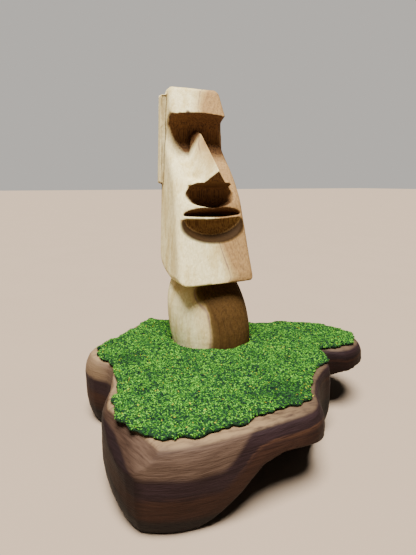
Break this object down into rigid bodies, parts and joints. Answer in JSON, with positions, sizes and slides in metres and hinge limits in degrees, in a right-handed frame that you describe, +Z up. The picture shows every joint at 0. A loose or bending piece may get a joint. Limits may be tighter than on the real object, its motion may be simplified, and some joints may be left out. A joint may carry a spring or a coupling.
{
  "type": "carved wooden moai head on a turfed walnut island",
  "caption": "Hand-carved pale wood moai head with long jaw and deep brow, standing on a lobed dark walnut slab topped with green flock turf.",
  "frame": {"origin": "on the island's flat underside, straight below the middle of the figure's foot", "axes": "+Z up, the face looks along -Y, +X is the viewer's right when facing the statue"},
  "size_m": [0.1279, 0.1153, 0.1416],
  "materials": {
    "pale_wood": "sanded and oiled, satin, pale sapwood with a brown heartwood streak",
    "walnut": "hand shaped, satin oil, dark layered grain",
    "flock_turf": "matt green model flock in mixed shades"
  },
  "bodies": {
    "root": {"moai": "pale_wood", "island_base": "walnut", "turf": "flock_turf"}
  },
  "joints": []
}
